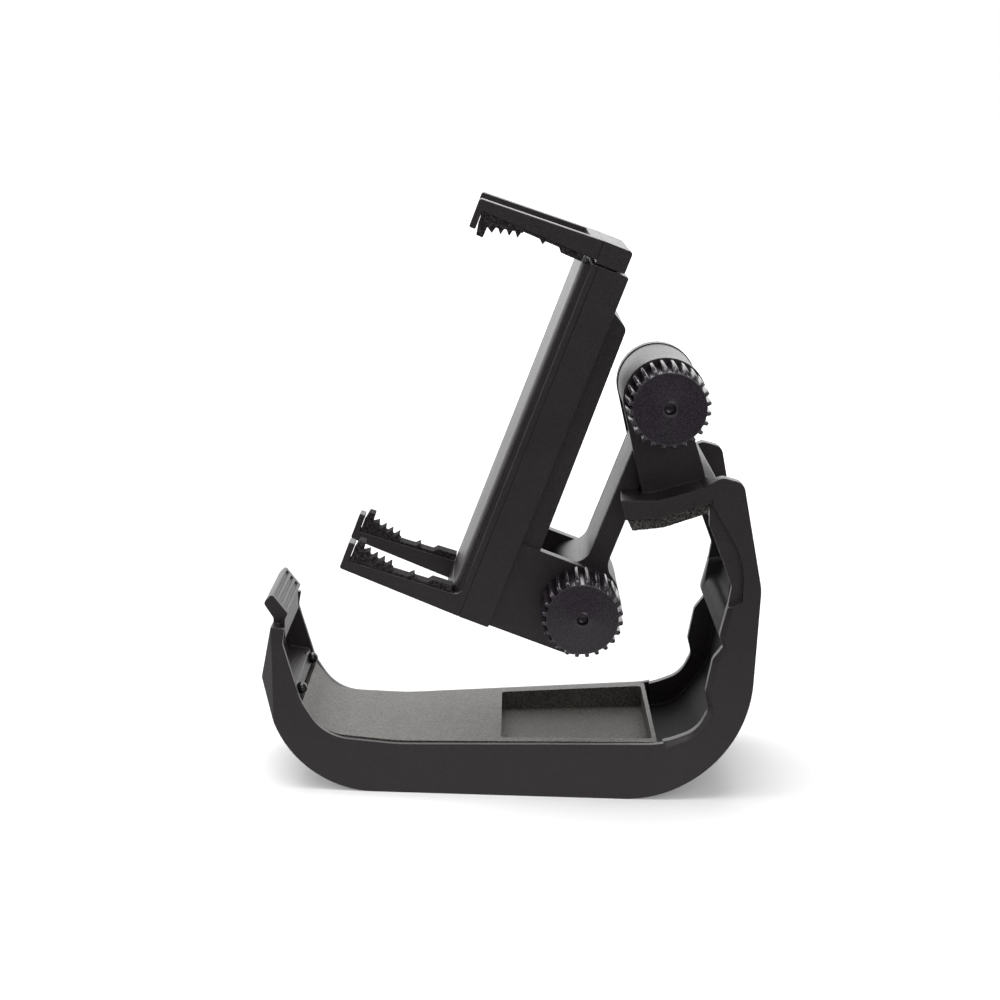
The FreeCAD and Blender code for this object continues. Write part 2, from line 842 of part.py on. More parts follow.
def screw_tower(a, y, low):
    """Boss round a shell screw."""
    return cross_rod(a, y, small_head_radius + 0.35, low, shell_seam)


def back_shell():
    """Back half of the holder: housing for the slide, bulge for the springs, two ears."""
    slab = leaned_prism([
        (holder_bottom, shell_back, 0.4),
        (holder_bottom, shell_seam),
        (holder_top, shell_seam),
        (holder_top, shell_back, 0.4),
    ], -holder_half_width, holder_half_width)
    bulge = leaned_prism([
        (holder_bottom + 3, shell_back + 0.5),
        (holder_bottom + 3, bulge_back),
        (bulge_top - 2.0, bulge_back + 0.8, 1.5),
        (bulge_top, shell_back, 0.5),
        (bulge_top, shell_back + 0.5),
    ], -bulge_half_width, bulge_half_width)
    ears = leaned_prism(ear_outline(), -ear_outside, ear_outside)
    gap = leaned_box(-ear_round - ear_drop - 1, ear_round, -ear_round - 1, bulge_back,
                     -ear_inside, ear_inside)
    ears = ears.cut(gap)
    boss = leaned_rod(0, 0, boss_radius, ear_outside - 0.5, ear_outside + nut_height - 0.4)
    body = fuse(slab, [bulge, ears, boss])
    channel = leaned_box(slider_start - 2, holder_top + 1, shell_back + shell_wall, shell_seam + 1,
                         -slider_half_width - slider_gap, slider_half_width + slider_gap)
    foot = leaned_box(holder_bottom + shell_wall, slider_start, shell_back + shell_wall, shell_seam + 1,
                      -inner_half_width, inner_half_width)
    spring_room = leaned_prism([
        (house_peg - 2.5, shell_back + shell_wall + 0.5),
        (house_peg - 2.5, bulge_back + shell_wall),
        (bulge_top - 2.4, bulge_back + shell_wall + 0.6),
        (bulge_top - 2.0, shell_back + shell_wall + 0.5),
    ], -bulge_half_width + shell_wall, bulge_half_width - shell_wall)
    side_start = slider_half_width + slider_gap + guide_wall
    side_room = leaned_box(slider_start + guide_wall, holder_top - 6.0, shell_back + shell_wall, shell_seam + 1,
                           -inner_half_width, -side_start)
    rooms = [channel, foot, spring_room] + both_sides(side_room)
    body = cut(body, rooms + nut_seat(lower_pivot_x, lower_pivot_z))
    parts = []
    holes = []
    for a, y, back in screw_places():
        parts.append(screw_tower(a, y, back + 0.5))
        holes.append(cross_rod(a, y, small_head_radius + small_screw_gap,
                               back - 1, back + small_head_height + 0.2))
        holes.append(cross_rod(a, y, small_screw_radius + small_screw_gap, back - 1, shell_seam + 1))
    for side in (-1, 1):
        parts.append(cross_rod(house_peg, side * peg_pitch / 2, peg_radius,
                               bulge_back + 0.5, shell_back + shell_wall))
    body = fuse(body, parts)
    keep = leaned_box(house_peg, holder_top + 1, shell_back + shell_wall, shell_seam + 1,
                      -slider_half_width - slider_gap, slider_half_width + slider_gap)
    return cut(body, holes + [keep])


def shell_screws():
    solids = []
    for a, y, back in screw_places():
        start = back + 0.2
        head = cross_rod(a, y, small_head_radius, start, start + small_head_height)
        shank = cross_rod(a, y, small_screw_radius, start + 0.5, plate_front - 1.0)
        solids.append(fuse(head, [shank]))
    return Part.makeCompound(solids)


def jaw_fork():
    """Sliding jaw's two prongs and the root that joins them."""
    body = leaned_prism(upper_bar(), -holder_half_width, holder_half_width)
    holes = [fork_gap()]
    for side in (-1, 1):
        holes.append(jaw_screw_hole(side, small_screw_radius + small_screw_gap))
    return cut(body, holes)


def jaw_screw_level():
    return holder_top + 0.3 + bar_root / 2


def jaw_screw_hole(side, radius):
    return cross_rod(jaw_screw_level(), side * 7.0, radius, shell_back - 1, shell_front + 2.3)


def jaw_slider():
    """Corner block over the housing, and the plate that slides inside it."""
    low = holder_top + 0.3
    block = leaned_prism([
        (low, shell_back + 1.0, 0.4),
        (low + bar_root + 0.2, shell_back + 1.0, 0.6),
        (low + bar_root + 0.2, shell_front - 0.5),
        (low, shell_front - 0.5),
    ], -holder_half_width, holder_half_width)
    start = shell_back + shell_wall + slider_gap
    plate = leaned_box(slider_start, low + 0.5, start, start + slider_wall,
                       -slider_half_width, slider_half_width)
    pegs = []
    for side in (-1, 1):
        pegs.append(cross_rod(slider_peg, side * peg_pitch / 2, peg_radius,
                              bulge_back + shell_wall + 0.6, start + 0.5))
    body = fuse(block, [plate] + pegs)
    holes = []
    for side in (-1, 1):
        holes.append(jaw_screw_hole(side, small_screw_radius + small_screw_gap))
        head = cross_rod(jaw_screw_level(), side * 7.0, small_head_radius + small_screw_gap,
                         shell_back - 1, shell_back + 1.0 + small_head_height)
        holes.append(head)
    return cut(body, holes)


def jaw_screws():
    solids = []
    for side in (-1, 1):
        start = shell_back + 1.0
        head = cross_rod(jaw_screw_level(), side * 7.0, small_head_radius, start, start + small_head_height)
        shank = cross_rod(jaw_screw_level(), side * 7.0, small_screw_radius, start + 0.5, shell_front + 2.2)
        solids.append(fuse(head, [shank]))
    return Part.makeCompound(solids)


def pad_profile(lift, fall):
    """Outline of a grip pad: heel, single tooth, four ramped teeth and a tall lug.

    lift turns a height over the jaw's face and a place b into an a; fall is the face.
    """
    tip = jaw_reach - lip_wall - pad_seat
    corners = [(fall(tip), tip)]
    corners.append((lift(lug_height / 2, tip), tip))
    corners.append((lift(lug_height, tip - 0.4), tip - 0.4))
    corners.append((lift(lug_height, tip - lug_width), tip - lug_width))
    corners.append((lift(tooth_heights[0] - 0.7, tip - lug_width - 0.1), tip - lug_width - 0.1))
    place = tip - lug_width - 1.2
    for height in tooth_heights:
        corners.append((lift(height, place), place))
        corners.append((lift(height - tooth_depth, place - 0.3), place - 0.3))
        corners.append((lift(height - tooth_depth - 0.1, place - 0.7), place - 0.7))
        place = place - tooth_pitch
    foot = place + tooth_pitch - 0.5
    corners.append((lift(pad_base, foot), foot))
    heel = plate_front + 4.1
    single = heel + 0.6 + (foot - heel - 0.6) * 0.42
    corners.append((lift(pad_base, single + 0.8), single + 0.8))
    corners.append((lift(heel_height, single), single))
    corners.append((lift(pad_base, single - 0.3), single - 0.3))
    corners.append((lift(pad_base, heel + 0.6), heel + 0.6))
    corners.append((lift(heel_height, heel), heel))
    corners.append((lift(heel_height, plate_front + pad_seat), plate_front + pad_seat))
    corners.append((fall(plate_front + pad_seat), plate_front + pad_seat))
    return corners


def lower_face(b):
    """Along place of the fixed jaw's inner face at b."""
    root = holder_bottom + bar_root
    tip = holder_bottom + bar_slope - 0.3 + bar_tip
    share = (b - shell_front) / (jaw_reach - lip_wall - shell_front)
    return root + (tip - root) * share


def upper_face(b):
    """Along place of the sliding jaw's inner face at b."""
    root = holder_top + 0.8
    tip = holder_top + 0.5 + bar_root - bar_slope - bar_tip
    share = (b - shell_front - 1.0) / (jaw_reach - lip_wall - shell_front - 1.0)
    return root + (tip - root) * share


def lower_pad(side):
    corners = pad_profile(lambda h, b: lower_face(b) + h, lower_face)
    return grip_pad(corners, side)


def upper_pad(side):
    corners = pad_profile(lambda h, b: upper_face(b) - h, upper_face)
    return grip_pad(corners, side)


def grip_pad(corners, side):
    inside = holder_half_width - prong_width
    if side < 0:
        return leaned_prism(corners, -holder_half_width + 0.15, -inside - 0.15)
    return leaned_prism(corners, inside + 0.15, holder_half_width - 0.15)


def pull_spring(side):
    """Coil that pulls the sliding jaw shut."""
    start = house_peg + peg_radius + 0.6
    length = slider_peg - peg_radius - 0.6 - start
    pitch = length / spring_turns
    helix = Part.makeHelix(pitch, length, spring_radius)
    section = Part.Wire(Part.makeCircle(spring_wire, vec(spring_radius, 0, 0), vec(0, 1, 0)))
    coil = Part.Wire(helix.Edges).makePipeShell([section], True, True)
    coil.rotate(vec(0, 0, 0), vec(0, 1, 0), lean_deg)
    level = (bulge_back + shell_wall + shell_back + shell_wall) / 2 + 0.12
    x, z = leaned(start, level)
    coil.translate(vec(x, side * peg_pitch / 2, z))
    return coil


def build():
    """Every node of the clip by name."""
    return {
        "cradle_frame": cradle_frame(),
        "cradle_liner": cradle_liner(),
        "hook_bumpers": hook_bumpers(),
        "ledge_pad": ledge_pad(),
        "upper_nut": upper_nut(),
        "upper_knob": upper_knob(),
        "upper_screw": upper_screw(),
        "link_arm": link_arm(),
        "upper_washers": upper_washers(),
        "lower_washers": lower_washers(),
        "lower_knob": lower_knob(),
        "lower_screw": lower_screw(),
        "lower_nut": lower_nut(),
        "back_shell": back_shell(),
        "front_shell": front_shell(),
        "shell_screws": shell_screws(),
        "lower_pad_near": lower_pad(-1),
        "lower_pad_far": lower_pad(1),
        "jaw_slider": jaw_slider(),
        "jaw_fork": jaw_fork(),
        "jaw_screws": jaw_screws(),
        "upper_pad_near": upper_pad(-1),
        "upper_pad_far": upper_pad(1),
        "pull_spring_near": pull_spring(-1),
        "pull_spring_far": pull_spring(1),
    }


os.makedirs("parts", exist_ok=True)
for name, shape in build().items():
    print(name, len(shape.Solids), round(shape.Volume, 1), shape.isValid())
    shape.exportStep("parts/" + name + ".step")
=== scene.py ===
import json
import math

import bmesh
import bpy
from mathutils import Matrix, Vector, noise


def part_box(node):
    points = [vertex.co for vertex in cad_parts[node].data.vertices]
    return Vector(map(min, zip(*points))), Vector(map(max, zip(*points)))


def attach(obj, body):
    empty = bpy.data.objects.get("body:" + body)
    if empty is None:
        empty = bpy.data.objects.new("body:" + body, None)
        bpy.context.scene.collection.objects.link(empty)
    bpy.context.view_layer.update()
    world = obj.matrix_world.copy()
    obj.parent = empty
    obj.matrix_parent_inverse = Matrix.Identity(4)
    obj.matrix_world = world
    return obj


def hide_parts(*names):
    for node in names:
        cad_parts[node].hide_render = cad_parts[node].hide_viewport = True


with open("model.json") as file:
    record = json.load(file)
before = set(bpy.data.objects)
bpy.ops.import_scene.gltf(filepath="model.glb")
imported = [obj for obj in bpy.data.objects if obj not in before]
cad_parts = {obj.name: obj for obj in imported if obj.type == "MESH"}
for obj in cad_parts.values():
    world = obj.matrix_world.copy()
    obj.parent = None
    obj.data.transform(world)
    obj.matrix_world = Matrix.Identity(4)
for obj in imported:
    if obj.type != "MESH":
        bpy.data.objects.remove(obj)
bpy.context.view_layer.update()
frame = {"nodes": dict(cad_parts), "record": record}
nodes = frame["nodes"]


# Node expressions: a wrapped socket takes + - * and adds the Math nodes
class Value:
    def __init__(self, owner, out):
        self.owner = owner
        self.out = out

    def maths(self, operation, *inputs, clamp=False):  # with no inputs it works on the value itself
        settings = {"operation": operation, "use_clamp": clamp}
        return self.owner.add("ShaderNodeMath", settings, list(inputs) or [self])

    def __add__(self, other):
        return self.maths("ADD", self, other)

    def __radd__(self, other):
        return self.maths("ADD", other, self)

    def __sub__(self, other):
        return self.maths("SUBTRACT", self, other)

    def __rsub__(self, other):
        return self.maths("SUBTRACT", other, self)

    def __mul__(self, other):
        return self.maths("MULTIPLY", self, other)

    def __rmul__(self, other):
        return self.maths("MULTIPLY", other, self)

    def clamped(self):
        return self.maths("ADD", self, 0.0, clamp=True)

    def range(self, low, high, start=0.0, end=1.0):
        sockets = {"Value": self, "From Min": low, "From Max": high, "To Min": start, "To Max": end}
        settings = {"clamp": True, "interpolation_type": "SMOOTHSTEP"}
        return self.owner.add("ShaderNodeMapRange", settings, sockets)


# add() makes any node from its type, its settings and the values or links of its sockets
class Tree:
    def put(self, socket, value):
        if isinstance(value, Value):
            self.tree.links.new(value.out, socket)
        elif hasattr(socket.default_value, "__len__"):
            value = list(value)
            if len(socket.default_value) == 4 and len(value) == 3:
                value = value + [1.0]
            socket.default_value = value
        else:
            socket.default_value = value

    def add(self, kind, settings, inputs, output=0):
        node = self.tree.nodes.new(kind)
        for key, value in settings.items():
            setattr(node, key, value)
        pairs = inputs.items() if isinstance(inputs, dict) else enumerate(inputs)
        for key, value in pairs:
            self.put(node.inputs[key], value)
        return Value(self, node.outputs[output]) if len(node.outputs) else None

    def split(self, vector):
        node = self.tree.nodes.new("ShaderNodeSeparateXYZ")
        self.put(node.inputs[0], vector)
        return [Value(self, out) for out in node.outputs]


class Finish(Tree):  # one material
    def __init__(self, name):
        self.material = bpy.data.materials.new(name)
        self.material.use_nodes = True
        self.tree = self.material.node_tree
        self.tree.nodes.clear()

    def place(self):
        return self.add("ShaderNodeTexCoord", {}, {}, "Object")

    def noise(self, scale, detail=2.0, roughness=0.5):
        sockets = {"Vector": self.place(), "Scale": scale, "Detail": detail, "Roughness": roughness}
        return self.add("ShaderNodeTexNoise", {}, sockets, "Fac")

    def cells(self, scale):
        return self.add("ShaderNodeTexVoronoi", {}, {"Vector": self.place(), "Scale": scale}, "Distance")

    def mix(self, share, first, second):
        node = self.tree.nodes.new("ShaderNodeMix")
        node.data_type = "RGBA"
        for socket, value in ((node.inputs[0], share), (node.inputs[6], first), (node.inputs[7], second)):
            self.put(socket, value)
        return Value(self, node.outputs[2])

    def bump(self, height, strength, distance, normal=None):
        inputs = {"Height": height, "Strength": strength, "Distance": distance}
        if normal:
            inputs["Normal"] = normal
        return self.add("ShaderNodeBump", {}, inputs)

    def soften(self, radius):  # rounds sharp edges for the light
        return self.add("ShaderNodeBevel", {"samples": 6}, {"Radius": radius})

    def shader(self, **inputs):
        sockets = {key.replace("_", " "): value for key, value in inputs.items()}
        return self.add("ShaderNodeBsdfPrincipled", {}, sockets)

    def output(self, shader):
        self.add("ShaderNodeOutputMaterial", {}, {"Surface": shader})
        return self.material

    def surface(self, **inputs):
        return self.output(self.shader(**inputs))


class Recipe(Tree):  # one Geometry Nodes tree with named sizes
    def __init__(self, name, sizes, takesPoints=False):
        self.tree = bpy.data.node_groups.new(name, "GeometryNodeTree")
        self.sockets = {}
        interface = self.tree.interface
        interface.new_socket("Geometry", in_out="OUTPUT", socket_type="NodeSocketGeometry")
        if takesPoints:
            interface.new_socket("Points", in_out="INPUT", socket_type="NodeSocketGeometry")
        for key, value in sizes.items():
            kind = "NodeSocketInt" if isinstance(value, int) else "NodeSocketFloat"
            self.sockets[key] = interface.new_socket(key, in_out="INPUT", socket_type=kind)
            self.sockets[key].default_value = value
        self.source = self.tree.nodes.new("NodeGroupInput")

    def size(self, key):
        return Value(self, self.source.outputs[key])

    def join(self, *shapes):
        node = self.tree.nodes.new("GeometryNodeJoinGeometry")
        for shape in shapes:
            self.tree.links.new(shape.out, node.inputs[0])
        return Value(self, node.outputs[0])

    def done(self, shape, material):
        solid = self.add("GeometryNodeRealizeInstances", {}, {"Geometry": shape})
        dressed = self.add("GeometryNodeSetMaterial", {}, {"Geometry": solid, "Material": material})
        self.add("NodeGroupOutput", {}, [dressed])
        self.material = material

    def mesh(self, sizes=None, points=()):
        base = bpy.data.meshes.new("base")
        base.from_pydata([tuple(point) for point in points], [], [])
        holder = bpy.data.objects.new("base", base)
        bpy.context.scene.collection.objects.link(holder)
        modifier = holder.modifiers.new("recipe", "NODES")
        modifier.node_group = self.tree
        for key, value in (sizes or {}).items():
            modifier[self.sockets[key].identifier] = value
        graph = bpy.context.evaluated_depsgraph_get()
        result = bpy.data.meshes.new_from_object(holder.evaluated_get(graph))
        bpy.data.objects.remove(holder)
        result.materials.clear()
        result.materials.append(self.material)
        return result


def shade(mesh, angle):  # smooth, with edges past the angle kept sharp
    mesh.shade_smooth()
    mesh.set_sharp_from_angle(angle=math.radians(angle))


def piece(name, mesh, body, slot, *replaced):  # puts a finished mesh in the scene and on its body
    mesh.name = name
    thing = bpy.data.objects.new(name, mesh)
    bpy.context.scene.collection.objects.link(thing)
    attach(thing, body)
    if replaced:
        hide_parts(*replaced)
    return thing


satinLook = {"dark": (0.0088, 0.0060, 0.0071), "light": (0.0172, 0.0122, 0.0142), "roughness": 0.37,
             "grain": 3400.0, "cloud": 90.0, "depth": 0.00009, "edge": 0.00012, "cradleEdge": 0.0003}
# painted shade for the arm's channel between its walls: a darker colour with weaker, duller reflection
channelShadeLook = {"colour": (0.0016, 0.0011, 0.0013), "roughness": 0.75, "sheen": 0.07, "share": 0.8,
               "wallInner": 0.0148, "wallOuter": 0.0156, "startLow": 0.0275, "startHigh": 0.0290,
               "endLow": 0.044, "endHigh": 0.050}


def satinPlastic(name, edge):  # moulded charcoal plastic of the cradle, link and holder, with painted shade in the arm's channel
    look = satinLook
    f = Finish(name)
    cloud = f.noise(look["cloud"], 3.0)
    grain = f.noise(look["grain"], 3.0, 0.6)
    colour = f.mix((grain * 0.75 + cloud * 0.25).range(0.35, 0.65), look["dark"], look["light"])
    inner = channelShadeLook  # painted shade: the arm's channel between its walls is made duller and darker where shade falls
    x, y, z = f.split(f.place())
    channelShadeMask = (1.0 - y.maths("ABSOLUTE").range(inner["wallInner"], inner["wallOuter"]))
    channelShadeMask = channelShadeMask * x.range(inner["startLow"], inner["startHigh"])
    channelShadeMask = channelShadeMask * (1.0 - z.range(inner["endLow"], inner["endHigh"]))
    rough = look["roughness"] + (cloud - 0.5) * 0.10 + (grain - 0.5) * 0.22
    normal = f.bump(grain, 0.8, look["depth"], f.soften(edge))
    faced = f.shader(Base_Color=colour, Roughness=rough, Normal=normal)
    # painted shade: this darker, duller surface is mixed over the plastic inside the channel's walls
    paintedChannelShade = f.shader(Base_Color=inner["colour"], Roughness=inner["roughness"],
                       Specular_IOR_Level=inner["sheen"], Normal=normal)
    return f.output(f.add("ShaderNodeMixShader", {}, [channelShadeMask * inner["share"], faced, paintedChannelShade]))


knobLook = {"dark": (0.0095, 0.0068, 0.0105), "light": (0.024, 0.0185, 0.0255), "roughness": 0.20,
            "grain": 4200.0, "cloud": 220.0, "depth": 0.000025, "edge": 0.00012}


def knobPlastic():  # finer, slightly violet grain
    look = knobLook
    f = Finish("knobPlastic")
    grain = f.noise(look["grain"], 2.0, 0.6)
    cloud = f.noise(look["cloud"], 2.0)
    colour = f.mix(grain.range(0.32, 0.68), look["dark"], look["light"])
    rough = look["roughness"] + (cloud - 0.5) * 0.08 + (grain - 0.5) * 0.15
    return f.surface(Base_Color=colour, Roughness=rough,
                     Normal=f.bump(grain, 0.6, look["depth"], f.soften(look["edge"])))


linerLook = {"dark": (0.010, 0.0088, 0.0078), "light": (0.074, 0.0665, 0.0580), "roughness": 0.48,
             "grain": 2700.0, "cloud": 400.0, "depth": 0.00022, "edge": 0.00015}


def linerPlastic():  # spark-eroded texture
    look = linerLook
    f = Finish("linerPlastic")
    grain = f.noise(look["grain"], 3.0, 0.65)
    cell = f.cells(look["grain"] * 0.8)
    cloud = f.noise(look["cloud"], 3.0)
    height = grain * 0.8 + cell * 0.4
    colour = f.mix(height.range(0.38, 0.72), look["dark"], look["light"])
    rough = look["roughness"] + (cloud - 0.5) * 0.12 + (grain - 0.5) * 0.30
    return f.surface(Base_Color=colour, Roughness=rough,
                     Normal=f.bump(height, 0.8, look["depth"], f.soften(look["edge"])))


rubberLook = {"dark": (0.0045, 0.0038, 0.0040), "light": (0.036, 0.0315, 0.0325), "roughness": 0.86,
              "sheen": 0.15, "grain": 2200.0, "depth": 0.00012, "edge": 0.00018}


def gripRubber():  # matt, with a coarse cast surface
    look = rubberLook
    f = Finish("gripRubber")
    grain = f.noise(look["grain"], 3.0, 0.65)
    colour = f.mix(grain.range(0.35, 0.68), look["dark"], look["light"])
    return f.surface(Base_Color=colour, Roughness=look["roughness"] + (grain - 0.5) * 0.25,
                     Specular_IOR_Level=look["sheen"],
                     Normal=f.bump(grain, 0.8, look["depth"], f.soften(look["edge"])))


foamLook = {"dark": (0.0035, 0.0032, 0.0032), "light": (0.060, 0.055, 0.050), "roughness": 0.9,
            "sheen": 0.25, "cell": 3000.0, "fine": 3600.0, "depth": 0.00015}


def openFoam():  # pores painted darker as shade, with paler walls
    look = foamLook
    f = Finish("openFoam")
    cell = f.cells(look["cell"])
    fine = f.noise(look["fine"], 3.0, 0.65)
    height = cell * 0.7 + fine * 0.6
    # the colour follows the bump's height, so the low pores get painted shade
    colour = f.mix(height.range(0.45, 0.85), look["dark"], look["light"])
    return f.surface(Base_Color=colour, Roughness=look["roughness"], Specular_IOR_Level=look["sheen"],
                     Normal=f.bump(height, 0.9, look["depth"]))


glossLook = {"dark": (0.004, 0.004, 0.004), "light": (0.007, 0.007, 0.007), "roughness": 0.08, "haze": 300.0}


def glossPlastic():  # polished stops
    look = glossLook
    f = Finish("glossPlastic")
    haze = f.noise(look["haze"], 2.0)
    return f.surface(Base_Color=f.mix(haze, look["dark"], look["light"]),
                     Roughness=look["roughness"] + haze * 0.06)


steelLook = {"dark": (0.50, 0.50, 0.52), "light": (0.64, 0.64, 0.65), "roughness": 0.26, "cloud": 600.0,
             "grain": 6000.0, "depth": 0.00001, "edge": 0.00012}


def zincSteel():  # plated screws, nuts and springs
    look = steelLook
    f = Finish("zincSteel")
    cloud = f.noise(look["cloud"], 3.0)
    fine = f.noise(look["grain"], 2.0)
    return f.surface(Base_Color=f.mix(cloud, look["dark"], look["light"]), Metallic=1.0,
                     Roughness=look["roughness"] + cloud * 0.14,
                     Normal=f.bump(fine, 0.3, look["depth"], f.soften(look["edge"])))


fibreLook = {"dark": (0.18, 0.17, 0.155), "light": (0.27, 0.255, 0.235), "roughness": 0.55, "cloud": 900.0,
             "depth": 0.00003, "edge": 0.0001}


def washerFibre():  # pressed fibre of the hinge washers
    look = fibreLook
    f = Finish("washerFibre")
    cloud = f.noise(look["cloud"], 3.0)
    return f.surface(Base_Color=f.mix(cloud, look["dark"], look["light"]), Roughness=look["roughness"],
                     Normal=f.bump(cloud, 0.3, look["depth"], f.soften(look["edge"])))


finishes = {
    "body_plastic": satinPlastic("satinPlastic", satinLook["edge"]),
    "knob_plastic": knobPlastic(),
    "liner_plastic": linerPlastic(),
    "bumper_plastic": glossPlastic(),
    "grip_rubber": gripRubber(),
    "foam": openFoam(),
    "washer_fibre": washerFibre(),
    "steel": zincSteel(),
}
finishes["link_plastic"] = finishes["body_plastic"]
cradlePlastic = satinPlastic("cradlePlastic", satinLook["cradleEdge"])

for part in frame["record"]["subparts"]:  # each CAD node takes its slot's finish
    mesh = nodes[part["node"]].data
    mesh.materials.clear()
    mesh.materials.append(finishes[part["material_slot"]])
nodes["cradle_frame"].data.materials[0] = cradlePlastic
print("finishes set")


groups = frame["record"]["behaviour"]["bodies"]
bodyOf = {node: body for body, members in groups.items() for node in members}
leanTurn = math.radians(21.2)
along = Vector((math.sin(leanTurn), 0, math.cos(leanTurn)))    # up the phone holder
across = Vector((-math.cos(leanTurn), 0, math.sin(leanTurn)))  # from its back to its front
weld = 0.000002  # points nearer than this are one
flatAngle = 1.0  # triangles within this many degrees are one face


def middle(node):
    low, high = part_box(node)
    return (Vector(low) + Vector(high)) / 2


# A turned or toothed shape about Y: rows of (depth from the front, root radius, tip radius) in mm
def turnedRecipe(name, rows, material, steps, teeth):
    f = Recipe(name, {"Teeth": teeth, "Steps": steps, "Tip Share": 0.30, "Root Share": 0.62})
    grid = f.add("GeometryNodeMeshGrid", {}, {"Vertices X": f.size("Teeth") * f.size("Steps") + 1.0,
                                              "Vertices Y": len(rows), "Size X": 1.0, "Size Y": 1.0})
    x, y, z = f.split(f.add("GeometryNodeInputPosition", {}, {}))
    row = ((y + 0.5) * float(len(rows) - 1)).maths("ROUND")
    turn = (x + 0.5) * (2 * math.pi)
    phase = ((x + 0.5) * f.size("Teeth")).maths("FRACT")
    away = (phase - 0.5).maths("ABSOLUTE") * 2.0
    tooth = (1.0 - away).range(1.0 - f.size("Root Share"), 1.0 - f.size("Tip Share"))

    def pick(column):
        node = f.tree.nodes.new("GeometryNodeIndexSwitch")
        node.data_type = "FLOAT"
        while len(node.index_switch_items) < len(rows):
            node.index_switch_items.new()
        f.put(node.inputs[0], row)
        for i, values in enumerate(rows):
            node.inputs[i + 1].default_value = values[column] / 1000
        return Value(f, node.outputs[0])

    depth, root, tip = pick(0), pick(1), pick(2)
    reach = root + (tip - root) * tooth
    spot = f.add("ShaderNodeCombineXYZ", {}, [reach * turn.maths("COSINE"), depth,
                                              reach * turn.maths("SINE")])
    bent = f.add("GeometryNodeSetPosition", {}, {"Geometry": grid, "Position": spot})
    closed = f.add("GeometryNodeMergeByDistance", {}, {"Geometry": bent, "Distance": weld})
    f.done(closed, material)
    return f


knobShape = {"teeth": 24, "steps": 16, "sharp": 40.0, "rows": [
    (1.6, 0, 0), (1.6, 0.72, 0.72), (1.4, 0.96, 0.96), (0.3, 1.0, 1.0), (0.08, 1.05, 1.05), (0.0, 1.16, 1.16),
    (0.03, 1.28, 1.28), (0.22, 1.42, 1.42), (0.24, 1.5, 1.5), (0.24, 6.24, 6.24), (0.25, 6.36, 6.36),
    (0.32, 6.5, 6.5), (0.42, 6.52, 6.6), (0.52, 6.3, 6.8), (0.95, 6.26, 7.24), (1.2, 6.26, 7.38),
    (9.9, 6.26, 7.38), (10.2, 6.2, 7.1), (10.2, 4.2, 4.2), (7.4, 4.1, 4.1), (7.4, 0, 0)]}


def makeKnobs():  # dimpled face, drafted teeth and a hollow back
    look = knobShape
    recipe = turnedRecipe("toothedKnob", look["rows"], finishes["knob_plastic"], look["steps"], look["teeth"])
    for side in ("upper", "lower"):
        node = side + "_knob"
        mesh = recipe.mesh()
        spot = middle(node)
        spot.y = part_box(node)[0][1]
        mesh.transform(Matrix.Translation(spot))
        faceOut(mesh)
        shade(mesh, look["sharp"])
        piece(side + "KnobTurned", mesh, bodyOf[node], "knob_plastic", node)


def faceOut(mesh):  # turns every face outwards
    shape = bmesh.new()
    shape.from_mesh(mesh)
    bmesh.ops.recalc_face_normals(shape, faces=shape.faces)
    shape.to_mesh(mesh)
    shape.free()


def mergedCopy(node):  # the node's triangles joined into clean faces
    shape = bmesh.new()
    shape.from_mesh(nodes[node].data)
    bmesh.ops.remove_doubles(shape, verts=shape.verts, dist=weld)
    bmesh.ops.dissolve_limit(shape, angle_limit=math.radians(flatAngle), verts=shape.verts, edges=shape.edges)
    mesh = bpy.data.meshes.new(node + "Copy")
    shape.to_mesh(mesh)
    shape.free()
    mesh.materials.append(nodes[node].data.materials[0])
    return mesh


def applied(mesh, *modifiers):  # mesh with modifiers applied, each (type, settings)
    holder = bpy.data.objects.new("holder", mesh)
    bpy.context.scene.collection.objects.link(holder)
    for kind, settings in modifiers:
        modifier = holder.modifiers.new(kind, kind)
        for key, value in settings.items():
            setattr(modifier, key, value)
    graph = bpy.context.evaluated_depsgraph_get()
    result = bpy.data.meshes.new_from_object(holder.evaluated_get(graph))
    bpy.data.objects.remove(holder)
    return result


def rounded(node, look):  # a copy with its edges broken
    mesh = mergedCopy(node)
    shade(mesh, look["angle"])
    return applied(mesh, ("BEVEL", {"width": look["round"], "segments": look["segments"],
                                    "limit_method": "ANGLE", "angle_limit": math.radians(look["angle"]),
                                    "use_clamp_overlap": False, "miter_outer": "MITER_ARC",
                                    "harden_normals": True}))


mouldShape = {"round": 0.00016, "segments": 2, "angle": 30.0}
slotShape = {**mouldShape, "round": 0.00008}  # leaves the slide its room


def makeMouldings():  # the hard mouldings with their edges broken as tooling leaves them
    for node, name in (("back_shell", "backShell"), ("front_shell", "frontShell"), ("jaw_fork", "jawFork"),
                       ("link_arm", "linkArm")):
        mesh = rounded(node, slotShape if node == "back_shell" else mouldShape)
        slot = "link_plastic" if node == "link_arm" else "body_plastic"
        piece(name, mesh, bodyOf[node], slot, node)


gripShape = {"round": 0.00013, "segments": 2, "angle": 25.0}


def makeGrips():  # soft edged rubber pads
    look = gripShape
    for node in ("lower_pad_near", "lower_pad_far", "upper_pad_near", "upper_pad_far"):
        mesh = rounded(node, look)
        words = node.split("_")
        piece("grip" + words[0].title() + words[2].title(), mesh, bodyOf[node], "grip_rubber", node)


foamShape = {"voxel": 0.0002, "smooth": 3, "pit": 0.0001, "cell": 3000.0, "fine": 2600.0,
             "even": 0.4, "cellShare": 0.3, "fineShare": 0.5}


